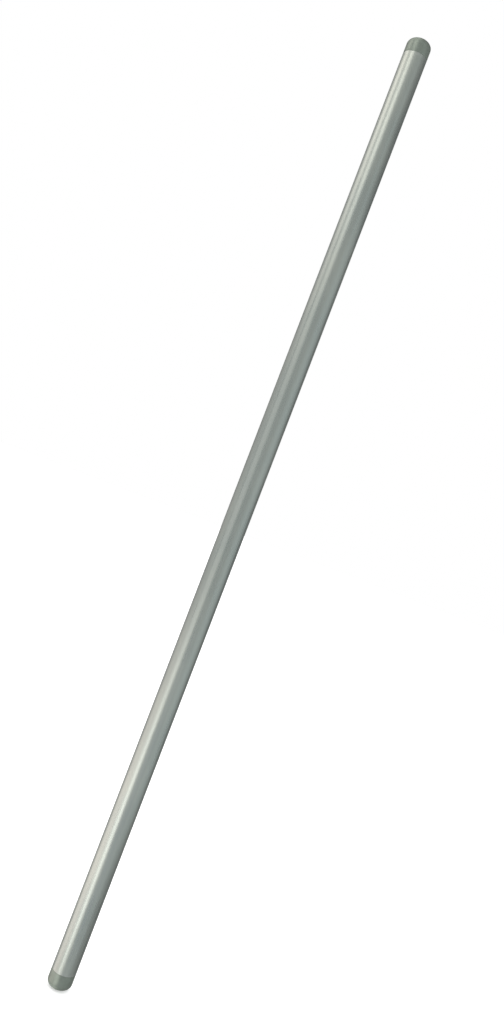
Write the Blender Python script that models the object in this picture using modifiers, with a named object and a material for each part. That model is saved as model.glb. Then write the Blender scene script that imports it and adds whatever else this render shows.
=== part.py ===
"""Straight cane: a round satin metal tube, closed at both ends by flush plugs with a domed nose.

Metres, +Z up. The cane stands on its lower plug: the origin is the centre of that plug's flat tip,
and +Z runs along the shaft. The two plugs are the same moulding, pushed into the tube by a ribbed
shank. Both pull out along Z, so every piece has its origin on that axis.
"""

import math

import bmesh
import bpy

# The whole cane
OVERALL_LENGTH = 1.000
SEGMENTS = 64
MERGE_DISTANCE = 0.000001
SHARP_ANGLE = math.radians(25)

# Tube
TUBE_DIAMETER = 0.025
TUBE_WALL = 0.0015
TUBE_CHAMFER = 0.0003

# Plug, the part that shows: a collar flush with the tube, then a nose that ends in a small flat
COLLAR_LENGTH = 0.0105
NOSE_LENGTH = 0.007
TIP_RADIUS = 0.003
SHOULDER_CHAMFER = 0.0002
NOSE_STEPS = 9

# Plug, the part inside the tube: a hollow shank with grip ribs round it
SHANK_LENGTH = 0.028
SHANK_WALL = 0.0022
SHANK_CHAMFER = 0.0006
RIB_COUNT = 5
RIB_HEIGHT = 0.0017
RIB_ROOT = 0.0020
RIB_CREST = 0.0008
RIB_PITCH = 0.005
FIRST_RIB = 0.0035
CORE_FLOOR = 0.0065
CORE_FILLET = 0.0020
FILLET_STEPS = 3

# Fits: the seam between tube and shoulder, and the play of the ribs in the bore
SEAM_GAP = 0.0003
RIB_CLEARANCE = 0.0001

TUBE_RADIUS = TUBE_DIAMETER / 2
BORE_RADIUS = TUBE_RADIUS - TUBE_WALL
PLUG_REACH = NOSE_LENGTH + COLLAR_LENGTH
TUBE_LENGTH = OVERALL_LENGTH - 2 * (PLUG_REACH + SEAM_GAP)
RIB_RADIUS = BORE_RADIUS - RIB_CLEARANCE
SHANK_RADIUS = RIB_RADIUS - RIB_HEIGHT
CORE_RADIUS = SHANK_RADIUS - SHANK_WALL


def clear_scene():
    for item in list(bpy.data.objects):
        bpy.data.objects.remove(item, do_unlink=True)


def material(name, colour, roughness, metallic):
    made = bpy.data.materials.new(name)
    made.use_nodes = True
    shader = made.node_tree.nodes["Principled BSDF"]
    shader.inputs["Base Color"].default_value = (*colour, 1.0)
    shader.inputs["Roughness"].default_value = roughness
    shader.inputs["Metallic"].default_value = metallic
    made.diffuse_color = (*colour, 1.0)
    return made


def satin_metal():
    return material("satin_metal", (0.62, 0.65, 0.62), 0.34, 1.0)


def plug_plastic():
    """Plastic coloured through with a metallic pigment, so that it shines softly like the tube."""
    return material("plug_plastic", (0.29, 0.32, 0.285), 0.36, 0.85)


def elliptic_arc(centre, half_width, half_height, start, end, steps):
    """Points (radius, height) on part of an ellipse, both ends included."""
    angles = [math.radians(start + (end - start) * i / steps) for i in range(steps + 1)]
    return [
        (centre[0] + half_width * math.cos(a), centre[1] + half_height * math.sin(a)) for a in angles
    ]


def turned(name, profile, closed):
    """The solid that a profile (radius, height) sweeps about Z. It runs down its outer side."""
    outline = bpy.data.meshes.new(name + "_profile")
    count = len(profile)
    edges = [(i, i + 1) for i in range(count - 1)]
    if closed:
        edges.append((count - 1, 0))
    outline.from_pydata([(radius, 0.0, height) for radius, height in profile], edges, [])
    holder = bpy.data.objects.new(name + "_profile", outline)
    bpy.context.scene.collection.objects.link(holder)

    screw = holder.modifiers.new("turn", "SCREW")
    screw.axis = "Z"
    screw.angle = math.tau
    screw.steps = SEGMENTS
    screw.render_steps = SEGMENTS
    screw.use_merge_vertices = True
    screw.merge_threshold = MERGE_DISTANCE

    evaluated = holder.evaluated_get(bpy.context.evaluated_depsgraph_get())
    solid = bpy.data.meshes.new_from_object(evaluated)
    solid.name = name
    bpy.data.objects.remove(holder, do_unlink=True)
    bpy.data.meshes.remove(outline)
    flatten_ends(solid)
    solid.shade_smooth()
    solid.set_sharp_from_angle(angle=SHARP_ANGLE)
    return solid


def flatten_ends(solid):
    """Joins each fan of triangles round the axis into one flat face."""
    shape = bmesh.new()
    shape.from_mesh(solid)
    hubs = [v for v in shape.verts if len(v.link_edges) == SEGMENTS]
    for hub in hubs:
        bmesh.ops.dissolve_verts(shape, verts=[hub])
    shape.to_mesh(solid)
    shape.free()


def tube_profile():
    """The wall's section, from its own lower end at height 0, with both rims chamfered."""
    top = TUBE_LENGTH
    return [
        (TUBE_RADIUS - TUBE_CHAMFER, top),
        (TUBE_RADIUS, top - TUBE_CHAMFER),
        (TUBE_RADIUS, TUBE_CHAMFER),
        (TUBE_RADIUS - TUBE_CHAMFER, 0.0),
        (BORE_RADIUS + TUBE_CHAMFER, 0.0),
        (BORE_RADIUS, TUBE_CHAMFER),
        (BORE_RADIUS, top - TUBE_CHAMFER),
        (BORE_RADIUS + TUBE_CHAMFER, top),
    ]


def core_profile(end):
    """The hollow of the shank, from the middle of its floor up to its mouth."""
    fillet_centre = (CORE_RADIUS - CORE_FILLET, PLUG_REACH - CORE_FLOOR + CORE_FILLET)
    floor = [(0.0, PLUG_REACH - CORE_FLOOR)]
    fillet = elliptic_arc(fillet_centre, CORE_FILLET, CORE_FILLET, -90, 0, FILLET_STEPS)
    mouth = [(CORE_RADIUS, end - SHANK_CHAMFER), (CORE_RADIUS + SHANK_CHAMFER, end)]
    return floor + fillet + mouth


def ribs_profile():
    """The outside of the shank, rib by rib, from its free end down to the shoulder."""
    points = []
    for index in reversed(range(RIB_COUNT)):
        middle = PLUG_REACH + FIRST_RIB + index * RIB_PITCH
        points += [
            (SHANK_RADIUS, middle + RIB_ROOT / 2),
            (RIB_RADIUS, middle + RIB_CREST / 2),
            (RIB_RADIUS, middle - RIB_CREST / 2),
            (SHANK_RADIUS, middle - RIB_ROOT / 2),
        ]
    return points


def plug_profile():
    """The plug's section with its tip at height 0 and its shank upwards."""
    end = PLUG_REACH + SHANK_LENGTH
    lead_in = [(SHANK_RADIUS - SHANK_CHAMFER, end), (SHANK_RADIUS, end - SHANK_CHAMFER)]
    shoulder = [
        (SHANK_RADIUS, PLUG_REACH),
        (TUBE_RADIUS - SHOULDER_CHAMFER, PLUG_REACH),
        (TUBE_RADIUS, PLUG_REACH - SHOULDER_CHAMFER),
    ]
    nose_width = TUBE_RADIUS - TIP_RADIUS
    nose = elliptic_arc((TIP_RADIUS, NOSE_LENGTH), nose_width, NOSE_LENGTH, 0, -90, NOSE_STEPS)
    tip = [(0.0, 0.0)]
    return core_profile(end) + lead_in + ribs_profile() + shoulder + nose + tip


def place(name, mesh, finish, collection, parent, height, flipped=False):
    item = bpy.data.objects.new(name, mesh)
    collection.objects.link(item)
    item.parent = parent
    item.location = (0.0, 0.0, height)
    item.rotation_euler = (math.pi if flipped else 0.0, 0.0, 0.0)
    if not mesh.materials:
        mesh.materials.append(finish)
    return item


def build():
    clear_scene()
    collection = bpy.data.collections.new("straight_cane")
    bpy.context.scene.collection.children.link(collection)
    axis = bpy.data.objects.new("cane_axis", None)
    collection.objects.link(axis)

    metal = satin_metal()
    plastic = plug_plastic()
    tube = turned("shaft_tube", tube_profile(), closed=True)
    plug = turned("end_plug", plug_profile(), closed=False)

    place("shaft_tube", tube, metal, collection, axis, PLUG_REACH + SEAM_GAP)
    place("lower_plug", plug, plastic, collection, axis, 0.0)
    place("upper_plug", plug, plastic, collection, axis, OVERALL_LENGTH, flipped=True)


build()
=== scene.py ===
"""The looks of the straight cane: a drawn, satin metal tube with a moulded domed plug in each end.

Lengths are metres. The cane stands upright on its lower plug, along +Z, as it does in the frame.
"""

import math

import bmesh
import bpy
from mathutils import Matrix, Vector


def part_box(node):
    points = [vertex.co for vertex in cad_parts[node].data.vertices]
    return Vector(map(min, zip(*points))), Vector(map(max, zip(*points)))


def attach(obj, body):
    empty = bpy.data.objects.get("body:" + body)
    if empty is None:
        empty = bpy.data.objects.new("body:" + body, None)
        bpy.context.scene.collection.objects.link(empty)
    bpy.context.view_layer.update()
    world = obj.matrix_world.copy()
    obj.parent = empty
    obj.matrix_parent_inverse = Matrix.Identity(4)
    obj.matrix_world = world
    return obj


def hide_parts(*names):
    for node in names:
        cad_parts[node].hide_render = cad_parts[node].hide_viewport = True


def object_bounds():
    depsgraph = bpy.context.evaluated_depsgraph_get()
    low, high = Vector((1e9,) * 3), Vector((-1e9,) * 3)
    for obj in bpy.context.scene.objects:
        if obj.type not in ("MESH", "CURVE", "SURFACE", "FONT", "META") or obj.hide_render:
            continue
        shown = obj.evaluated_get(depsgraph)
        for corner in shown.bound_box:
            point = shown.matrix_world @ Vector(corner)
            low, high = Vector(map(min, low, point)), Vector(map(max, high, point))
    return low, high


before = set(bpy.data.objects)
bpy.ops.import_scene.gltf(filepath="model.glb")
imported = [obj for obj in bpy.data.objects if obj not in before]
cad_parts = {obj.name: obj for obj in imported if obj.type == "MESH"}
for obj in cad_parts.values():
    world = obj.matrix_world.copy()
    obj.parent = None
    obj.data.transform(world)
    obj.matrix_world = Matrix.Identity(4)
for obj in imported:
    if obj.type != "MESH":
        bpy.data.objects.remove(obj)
cad_low, cad_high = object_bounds()

# The tube, from the frame, with the wall of its CAD solid
TUBE_LOW, TUBE_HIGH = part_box("shaft_tube")
CANE_HEIGHT = cad_high.z
TUBE_RADIUS = (TUBE_HIGH.x - TUBE_LOW.x) / 2
TUBE_WALL = 0.0015
BORE_RADIUS = TUBE_RADIUS - TUBE_WALL

# The part of the plug that shows. Its seam is much finer than the gap that the CAD solids keep
SEAM_GAP = 0.00005
PLUG_REACH = TUBE_LOW.z - SEAM_GAP
NOSE_LENGTH = 0.007
TIP_RADIUS = 0.003

# The part of the plug inside the tube, with the sizes of its CAD solid
SHANK_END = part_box("lower_plug")[1].z
SHANK_WALL = 0.0022
RIB_CLEARANCE = 0.0001
RIB_HEIGHT = 0.0017
RIB_COUNT = 5
RIB_ROOT = 0.0020
RIB_CREST = 0.0008
RIB_PITCH = 0.005
FIRST_RIB = 0.0035
RIB_RADIUS = BORE_RADIUS - RIB_CLEARANCE
SHANK_RADIUS = RIB_RADIUS - RIB_HEIGHT
CORE_RADIUS = SHANK_RADIUS - SHANK_WALL
CORE_FLOOR = 0.0065

# The gate mark in the middle of the tip: a shallow dish with a cut-off stub in it
DISH_RADIUS = 0.0016
DISH_DEPTH = 0.0002
STUB_RADIUS = 0.0006
STUB_HEIGHT = 0.0001

# How far the edges are rounded
TUBE_EDGE = 0.00012
SHOULDER_EDGE = 0.00012
CORE_FILLET = 0.0020
MOUTH_EDGE = 0.0004
SHANK_EDGE = 0.0005
RIB_ROOT_EDGE = 0.0003
RIB_CREST_EDGE = 0.0002

# How finely the round pieces are cut
SEGMENTS = 144
NOSE_STEPS = 28
EDGE_STEPS = 4
ON_AXIS = 1e-9
SHARP_ANGLE = math.radians(35)

# How far the wear reaches, from the tube's rims and from the tips
RUBBED_RIM = 0.0035
RUBBED_NOSE = 0.005

# Colours
COOL_METAL = (0.595, 0.625, 0.605)
WARM_METAL = (0.665, 0.685, 0.645)
WORN_METAL = (0.72, 0.73, 0.71)
DARK_PLASTIC = (0.275, 0.308, 0.272)
PALE_PLASTIC = (0.303, 0.338, 0.300)
WORN_PLASTIC = (0.41, 0.43, 0.40)
WHITE = (1.0, 1.0, 1.0)
MIRRORED_TINT = (0.92, 1.0, 0.97)

# The floor
FLOOR_REACH = 30.0
FLOOR_COLOUR = (0.86, 0.86, 0.86)
FLOOR_GLOW = 0.30

# The room: its ambient light, and the greys that the metal mirrors of it in front and behind. One
# grey turns into the other between two directions, whose Y is minus and plus GREY_TURN
AMBIENT = 1.25
FRONT_GREY = 0.36
BACK_GREY = 0.13
GREY_TURN = 0.7

# The soft boxes: how far off they stand, and the steps in which a column fades at one end
BOX_DISTANCE = 1.6
FADE_STEPS = 3
FADE_GAP = 0.02

# The camera stands close, level with the cane's middle, and leans so that the cane's top goes right
CANE_LEAN = math.radians(21.02)
CAMERA_DISTANCE = 0.899
CAMERA_LENS = 32.0
SENSOR_WIDTH = 36.0
CAMERA_PITCH = math.radians(0.7)
AIM_UP = 0.0030
SHIFT_RIGHT = 0.0101
SHIFT_UP = -0.0039


# ---------------------------------------------------------------- shapes


def arc(centre, half_width, half_height, start, end, steps):
    """Points (radius, height) on part of an ellipse, both ends included. The angles are degrees."""
    angles = [math.radians(start + (end - start) * i / steps) for i in range(steps + 1)]
    return [
        (centre[0] + half_width * math.cos(a), centre[1] + half_height * math.sin(a)) for a in angles
    ]


def rounded(corners, closed=False):
    """The section through corners (radius, height, rounding), each rounded by an arc."""
    count = len(corners)
    points = []
    for index, (x, y, size) in enumerate(corners):
        at_end = index in (0, count - 1) and not closed
        if at_end or size == 0:
            points.append((x, y))
            continue
        here = Vector((x, y))
        before = (Vector(corners[index - 1][:2]) - here).normalized()
        after = (Vector(corners[(index + 1) % count][:2]) - here).normalized()
        half_angle = before.angle(after) / 2
        reach = size / math.tan(half_angle)
        centre = here + (before + after).normalized() * size / math.sin(half_angle)
        start, end = here + before * reach - centre, here + after * reach - centre
        for step in range(EDGE_STEPS + 1):
            spoke = start.lerp(end, step / EDGE_STEPS).normalized() * size
            points.append(tuple(centre + spoke))
    return points


def turned(name, section, closed):
    """The mesh that a section (radius, height) sweeps about Z. A closed section is a ring's."""
    shape = bmesh.new()
    angles = [math.tau * i / SEGMENTS for i in range(SEGMENTS)]
    rings = []
    for radius, height in section:
        if radius < ON_AXIS:
            rings.append([shape.verts.new((0.0, 0.0, height))])
            continue
        rings.append(
            [shape.verts.new((radius * math.cos(a), radius * math.sin(a), height)) for a in angles]
        )
    pairs = list(zip(rings, rings[1:]))
    if closed:
        pairs.append((rings[-1], rings[0]))
    for upper, lower in pairs:
        for i in range(SEGMENTS):
            j = (i + 1) % SEGMENTS
            corners = [
                upper[i % len(upper)],
                lower[i % len(lower)],
                lower[j % len(lower)],
                upper[j % len(upper)],
            ]
            shape.faces.new(list(dict.fromkeys(corners)))
    bmesh.ops.recalc_face_normals(shape, faces=shape.faces)
    mesh = bpy.data.meshes.new(name)
    shape.to_mesh(mesh)
    shape.free()
    mesh.shade_smooth()
    mesh.set_sharp_from_angle(angle=SHARP_ANGLE)
    return mesh


def tube_section():
    """The tube's wall, with all four rims rounded."""
    low, high = TUBE_LOW.z, TUBE_HIGH.z
    corners = [
        (TUBE_RADIUS, high, TUBE_EDGE),
        (TUBE_RADIUS, low, TUBE_EDGE),
        (BORE_RADIUS, low, TUBE_EDGE),
        (BORE_RADIUS, high, TUBE_EDGE),
    ]
    return rounded(corners, closed=True)


def ribs():
    """The corners of the grip ribs, from the shank's free end down to the shoulder."""
    corners = []
    for index in reversed(range(RIB_COUNT)):
        middle = PLUG_REACH + FIRST_RIB + index * RIB_PITCH
        corners += [
            (SHANK_RADIUS, middle + RIB_ROOT / 2, RIB_ROOT_EDGE),
            (RIB_RADIUS, middle + RIB_CREST / 2, RIB_CREST_EDGE),
            (RIB_RADIUS, middle - RIB_CREST / 2, RIB_CREST_EDGE),
            (SHANK_RADIUS, middle - RIB_ROOT / 2, RIB_ROOT_EDGE),
        ]
    return corners


def gate_mark():
    """The dish in the tip and its stub, from the dish's rim to the middle."""
    stub_top = DISH_DEPTH - STUB_HEIGHT
    return [
        (DISH_RADIUS, 0.0),
        (DISH_RADIUS - DISH_DEPTH, DISH_DEPTH),
        (STUB_RADIUS, DISH_DEPTH),
        (STUB_RADIUS - STUB_HEIGHT, stub_top),
        (0.0, stub_top),
    ]


def plug_section():
    """The plug with its tip at height 0: core, mouth, ribs, shoulder, collar, nose and gate mark."""
    core = [
        (0.0, PLUG_REACH - CORE_FLOOR, 0),
        (CORE_RADIUS, PLUG_REACH - CORE_FLOOR, CORE_FILLET),
        (CORE_RADIUS, SHANK_END, MOUTH_EDGE),
        (SHANK_RADIUS, SHANK_END, SHANK_EDGE),
    ]
    collar = [
        (SHANK_RADIUS, PLUG_REACH, RIB_ROOT_EDGE),
        (TUBE_RADIUS, PLUG_REACH, SHOULDER_EDGE),
        (TUBE_RADIUS, NOSE_LENGTH, 0),
    ]
    nose_width = TUBE_RADIUS - TIP_RADIUS
    nose = arc((TIP_RADIUS, NOSE_LENGTH), nose_width, NOSE_LENGTH, 0, -90, NOSE_STEPS)
    return rounded(core + ribs() + collar)[:-1] + nose + gate_mark()


# ---------------------------------------------------------------- materials


def node(tree, kind, **settings):
    made = tree.nodes.new(kind)
    for name, value in settings.items():
        setattr(made, name, value)
    return made


def new_material(name):
    made = bpy.data.materials.new(name)
    made.use_nodes = True
    return made, made.node_tree, made.node_tree.nodes["Principled BSDF"]


def noise(tree, across, along, detail, roughness=0.5, tilt=0.0):
    """Noise with so many cells to the metre across and along the cane, tilted by degrees."""
    where = node(tree, "ShaderNodeTexCoord")
    mapping = node(tree, "ShaderNodeMapping")
    mapping.inputs["Scale"].default_value = (across, across, along)
    mapping.inputs["Rotation"].default_value = (math.radians(tilt), math.radians(tilt), 0.0)
    made = node(tree, "ShaderNodeTexNoise")
    made.inputs["Scale"].default_value = 1.0
    made.inputs["Detail"].default_value = detail
    made.inputs["Roughness"].default_value = roughness
    tree.links.new(where.outputs["Object"], mapping.inputs["Vector"])
    tree.links.new(mapping.outputs["Vector"], made.inputs["Vector"])
    return made.outputs["Fac"]


def remap(tree, value, before, after):
    """A value's range (low, high) stretched to another, and held at its ends."""
    made = node(tree, "ShaderNodeMapRange")
    made.inputs["From Min"].default_value, made.inputs["From Max"].default_value = before
    made.inputs["To Min"].default_value, made.inputs["To Max"].default_value = after
    tree.links.new(value, made.inputs["Value"])
    return made.outputs["Result"]


def mix_colours(tree, share, first, second):
    """Colours mixed by a share from 0 to 1. Each is a socket or three numbers."""
    made = node(tree, "ShaderNodeMix", data_type="RGBA")
    for socket, colour in ((made.inputs[6], first), (made.inputs[7], second)):
        if isinstance(colour, tuple):
            socket.default_value = (*colour, 1.0)
        else:
            tree.links.new(colour, socket)
    tree.links.new(share, made.inputs["Factor"])
    return made.outputs[2]


def combine(tree, operation, first, second):
    """A Math node on two values, each a socket or a number."""
    made = node(tree, "ShaderNodeMath", operation=operation)
    for socket, value in zip(made.inputs, (first, second)):
        if isinstance(value, (int, float)):
            socket.default_value = value
        else:
            tree.links.new(value, socket)
    return made.outputs["Value"]


def bump(tree, height, strength, depth, below=None):
    """Relief of a depth in metres, on top of other relief if there is any below it."""
    made = node(tree, "ShaderNodeBump")
    made.inputs["Strength"].default_value = strength
    made.inputs["Distance"].default_value = depth
    tree.links.new(height, made.inputs["Height"])
    if below is not None:
        tree.links.new(below, made.inputs["Normal"])
    return made.outputs["Normal"]


def near_ends(tree, start, end):
    """0 until start metres from the cane's middle, and 1 from end metres on."""
    where = node(tree, "ShaderNodeTexCoord")
    parts = node(tree, "ShaderNodeSeparateXYZ")
    tree.links.new(where.outputs["Object"], parts.inputs["Vector"])
    along = combine(tree, "SUBTRACT", parts.outputs["Z"], CANE_HEIGHT / 2)
    return remap(tree, combine(tree, "ABSOLUTE", along, 0.0), (start, end), (0.0, 1.0))


def satin_metal():
    """Drawn aluminium: lines along the tube, faint clouds, a few hairline scratches, rubbed rims."""
    made, tree, shader = new_material("drawn_satin_metal")
    lines = noise(tree, 2400.0, 9.0, detail=3.0, roughness=0.6)
    bands = noise(tree, 420.0, 3.0, detail=2.0)
    clouds = noise(tree, 45.0, 16.0, detail=3.0)
    hairs = noise(tree, 1300.0, 34.0, detail=1.0, tilt=7.0)
    patches = noise(tree, 260.0, 420.0, detail=4.0, roughness=0.6)

    tube_end = TUBE_HIGH.z - CANE_HEIGHT / 2
    rim = near_ends(tree, tube_end - RUBBED_RIM, tube_end)
    rubbed = combine(tree, "MULTIPLY", rim, remap(tree, patches, (0.42, 0.62), (0.0, 1.0)))
    scratch = remap(tree, hairs, (0.70, 0.76), (0.0, 1.0))

    cloudy = remap(tree, clouds, (0.35, 0.65), (0.0, 0.7))
    banded = remap(tree, bands, (0.3, 0.7), (0.0, 0.3))
    colour = mix_colours(tree, combine(tree, "ADD", cloudy, banded), COOL_METAL, WARM_METAL)
    worn = mix_colours(tree, rubbed, colour, WORN_METAL)
    tree.links.new(worn, shader.inputs["Base Color"])

    band_blur = remap(tree, bands, (0.3, 0.7), (0.25, 0.31))
    cloud_blur = remap(tree, clouds, (0.35, 0.65), (0.0, 0.03))
    scratch_blur = combine(tree, "MULTIPLY", scratch, 0.10)
    rim_blur = combine(tree, "MULTIPLY", rubbed, 0.08)
    drawn_blur = combine(tree, "ADD", band_blur, cloud_blur)
    worn_blur = combine(tree, "ADD", scratch_blur, rim_blur)
    tree.links.new(combine(tree, "ADD", drawn_blur, worn_blur), shader.inputs["Roughness"])

    drawn = bump(tree, lines, 0.20, 0.00004)
    tree.links.new(bump(tree, scratch, -0.15, 0.00003, drawn), shader.inputs["Normal"])
    shader.inputs["Metallic"].default_value = 1.0
    shader.inputs["Anisotropic"].default_value = 0.5
    return made


def plug_plastic():
    """Moulded plastic, grey with a metallic pigment: fine grain, faint clouds and a rubbed nose."""
    made, tree, shader = new_material("moulded_plug_plastic")
    grain = noise(tree, 3200.0, 3200.0, detail=2.0)
    clouds = noise(tree, 160.0, 160.0, detail=3.0)
    patches = noise(tree, 520.0, 520.0, detail=4.0, roughness=0.65)

    nose = near_ends(tree, CANE_HEIGHT / 2 - RUBBED_NOSE, CANE_HEIGHT / 2)
    rubbed = combine(tree, "MULTIPLY", nose, remap(tree, patches, (0.45, 0.65), (0.0, 1.0)))

    tone = remap(tree, clouds, (0.35, 0.65), (0.0, 1.0))
    colour = mix_colours(tree, tone, DARK_PLASTIC, PALE_PLASTIC)
    worn = mix_colours(tree, combine(tree, "MULTIPLY", rubbed, 0.5), colour, WORN_PLASTIC)
    tree.links.new(worn, shader.inputs["Base Color"])

    grain_blur = remap(tree, grain, (0.3, 0.7), (0.30, 0.42))
    nose_blur = combine(tree, "MULTIPLY", rubbed, 0.15)
    tree.links.new(combine(tree, "ADD", grain_blur, nose_blur), shader.inputs["Roughness"])

    tree.links.new(bump(tree, grain, 0.15, 0.00003), shader.inputs["Normal"])
    shader.inputs["Metallic"].default_value = 0.85
    return made


# ---------------------------------------------------------------- pieces


def add_piece(name, mesh, material, body, cad_node):
    piece = bpy.data.objects.new(name, mesh)
    bpy.context.scene.collection.objects.link(piece)
    mesh.materials.append(material)
    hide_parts(cad_node)
    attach(piece, body)


def make_pieces():
    """The tube and its two plugs. The upper plug is the lower one turned over."""
    metal, plastic = satin_metal(), plug_plastic()
    tube = turned("drawn_tube", tube_section(), closed=True)
    lower = turned("lower_end_plug", plug_section(), closed=False)
    upper = lower.copy()
    upper.name = "upper_end_plug"
    upper.transform(Matrix.Translation((0, 0, CANE_HEIGHT)) @ Matrix.Rotation(math.pi, 4, "X"))
    add_piece("drawn_tube", tube, metal, "shaft", "shaft_tube")
    add_piece("lower_end_plug", lower, plastic, "lower_plug", "lower_plug")
    add_piece("upper_end_plug", upper, plastic, "upper_plug", "upper_plug")


# ---------------------------------------------------------------- stage, light and camera


def make_floor():
    """A pale floor that glows a little, so that the cane's shadow on it stays faint."""
    mesh = bpy.data.meshes.new("floor")
    shape = bmesh.new()
    bmesh.ops.create_grid(shape, x_segments=1, y_segments=1, size=FLOOR_REACH)
    shape.to_mesh(mesh)
    shape.free()
    floor = bpy.data.objects.new("floor", mesh)
    bpy.context.scene.collection.objects.link(floor)
    made, _, shader = new_material("pale_floor")
    shader.inputs["Base Color"].default_value = (*FLOOR_COLOUR, 1.0)
    shader.inputs["Roughness"].default_value = 0.9
    shader.inputs["Specular IOR Level"].default_value = 0.0
    shader.inputs["Emission Color"].default_value = (*WHITE, 1.0)
    shader.inputs["Emission Strength"].default_value = FLOOR_GLOW
    mesh.materials.append(made)
    floor.visible_glossy = False
    floor.visible_shadow = False


def background(tree, colour, strength):
    made = node(tree, "ShaderNodeBackground")
    made.inputs["Color"].default_value = (*colour, 1.0)
    made.inputs["Strength"].default_value = strength
    return made


def make_world():
    """White all round. What the metal mirrors is a dimmer grey, darkest behind the cane."""
    world = bpy.data.worlds.new("studio")
    bpy.context.scene.world = world
    world.use_nodes = True
    tree = world.node_tree
    tree.nodes.clear()
    output = node(tree, "ShaderNodeOutputWorld")
    seen = background(tree, WHITE, 1.0)
    ambient = background(tree, WHITE, AMBIENT)
    mirrored = background(tree, MIRRORED_TINT, 1.0)

    direction = node(tree, "ShaderNodeTexCoord")
    parts = node(tree, "ShaderNodeSeparateXYZ")
    tree.links.new(direction.outputs["Generated"], parts.inputs["Vector"])
    grey = remap(tree, parts.outputs["Y"], (-GREY_TURN, GREY_TURN), (FRONT_GREY, BACK_GREY))
    tree.links.new(grey, mirrored.inputs["Strength"])

    ray = node(tree, "ShaderNodeLightPath")
    soft = node(tree, "ShaderNodeMixShader")
    final = node(tree, "ShaderNodeMixShader")
    tree.links.new(ray.outputs["Is Glossy Ray"], soft.inputs["Fac"])
    tree.links.new(ambient.outputs[0], soft.inputs[1])
    tree.links.new(mirrored.outputs[0], soft.inputs[2])
    tree.links.new(ray.outputs["Is Camera Ray"], final.inputs["Fac"])
    tree.links.new(soft.outputs[0], final.inputs[1])
    tree.links.new(seen.outputs[0], final.inputs[2])
    tree.links.new(final.outputs[0], output.inputs["Surface"])


def add_lamp(name, place, outward, size, radiance, colour):
    """A soft box of a size (width, height), at a place that is outward from the cane."""
    lamp = bpy.data.lights.new(name, "AREA")
    lamp.shape = "RECTANGLE"
    lamp.size, lamp.size_y = size
    lamp.energy = radiance * math.pi * size[0] * size[1]
    lamp.color = colour
    holder = bpy.data.objects.new(name, lamp)
    bpy.context.scene.collection.objects.link(holder)
    holder.location = place
    holder.rotation_euler = outward.to_track_quat("Z", "Y").to_euler()


def add_softbox(name, azimuth, height, size, radiance, colour, distance=BOX_DISTANCE):
    """An upright soft box. Azimuth 0 is the camera's side of the cane, and positive is to its right."""
    turn = math.radians(azimuth)
    outward = Vector((math.sin(turn), -math.cos(turn), 0.0))
    place = outward * distance + Vector((0.0, 0.0, height))
    add_lamp(name, place, outward, size, radiance, colour)


def add_fading_column(name, azimuth, width, heights, radiance, colour):
    """Soft boxes one behind the other. The heights are where light begins, is full, and ends."""
    begin, full, end = heights
    for step in range(FADE_STEPS):
        start = begin + (full - begin) * step / (FADE_STEPS - 1)
        middle, size = (start + end) / 2, (width, abs(end - start))
        distance = BOX_DISTANCE + FADE_GAP * step
        add_softbox(f"{name}_{step}", azimuth, middle, size, radiance / FADE_STEPS, colour, distance)


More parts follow.
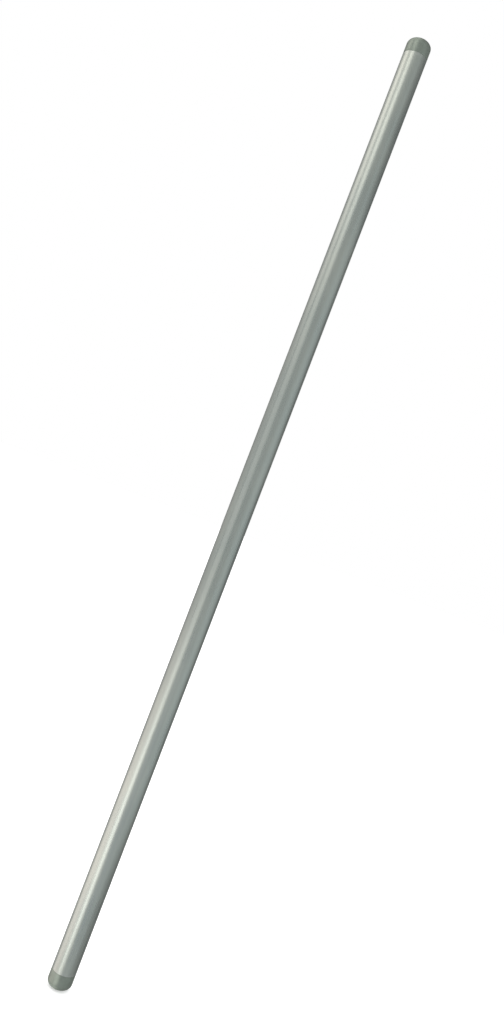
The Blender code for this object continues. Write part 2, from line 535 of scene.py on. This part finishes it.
def make_lights():
    """Two columns of soft boxes on the left, each with a gap at the cane's middle, and weak fills.

    After its name, each box has its azimuth, place, size, radiance and colour, as its function says.
    """
    cream, rosy = (1.0, 0.95, 0.86), (1.0, 0.88, 0.80)
    straw, cool, sky = (1.02, 1.0, 0.915), (0.84, 1.0, 1.02), (0.80, 0.96, 1.20)
    ivory, pale_green = (1.0, 0.99, 0.97), (0.99, 1.0, 0.91)
    add_fading_column("near_left_high", -40, 0.74, (1.12, 1.80, 2.55), 1.08, straw)
    add_fading_column("near_left_low", -33, 0.80, (0.14, -0.36, -1.30), 0.985, straw)
    add_fading_column("far_left_high", -93, 1.20, (1.14, 1.80, 2.55), 0.85, cream)
    add_fading_column("far_left_low", -86, 2.10, (0.12, -0.38, -1.30), 0.60, rosy)
    add_softbox("left_column", -40, 0.5, (1.5, 3.4), 0.21, ivory)
    add_softbox("far_left_column", -110, 0.5, (2.4, 3.4), 0.22, ivory)
    add_softbox("right_fill", 52, 0.5, (0.7, 3.4), 0.10, cool)
    add_softbox("far_right_fill", 84, 0.45, (1.4, 2.1), 0.150, cool)
    add_softbox("front_low", 14, -0.6, (1.2, 1.2), 0.06, sky)
    add_softbox("back_high", -172, 2.0, (0.8, 1.6), 0.40, ivory)
    add_softbox("back_low", -172, -1.0, (0.8, 1.6), 0.40, ivory)

    up = Vector((0.0, 0.0, 1.0))
    add_lamp("overhead", Vector((-0.75, 0.0, 2.6)), up, (1.4, 2.4), 0.6, pale_green)
    add_lamp("underfoot", Vector((-0.75, 0.0, -1.6)), -up, (1.4, 2.4), 0.6, pale_green)


def make_camera():
    """Seen level and from close by, leaned over so that the upright cane slants in the picture."""
    forward = Vector((0, math.cos(CAMERA_PITCH), math.sin(CAMERA_PITCH)))
    right = Vector((1, 0, 0))
    up = right.cross(forward)
    leaned_right = right * math.cos(CANE_LEAN) + up * math.sin(CANE_LEAN)
    leaned_up = up * math.cos(CANE_LEAN) - right * math.sin(CANE_LEAN)
    aim = Vector((0, 0, CANE_HEIGHT / 2 + AIM_UP))
    place = aim - forward * CAMERA_DISTANCE

    camera = bpy.data.cameras.new("camera")
    camera.sensor_width = SENSOR_WIDTH
    camera.lens = CAMERA_LENS
    camera.shift_x, camera.shift_y = SHIFT_RIGHT, SHIFT_UP
    camera.clip_start = 0.01
    camera.clip_end = 100.0
    holder = bpy.data.objects.new("camera", camera)
    bpy.context.scene.collection.objects.link(holder)
    axes = Matrix((leaned_right, leaned_up, -forward)).transposed()
    holder.matrix_world = Matrix.Translation(place) @ axes.to_4x4()
    bpy.context.scene.camera = holder


make_pieces()
make_floor()
make_world()
make_lights()
make_camera()
bpy.context.scene.view_settings.view_transform = "Standard"
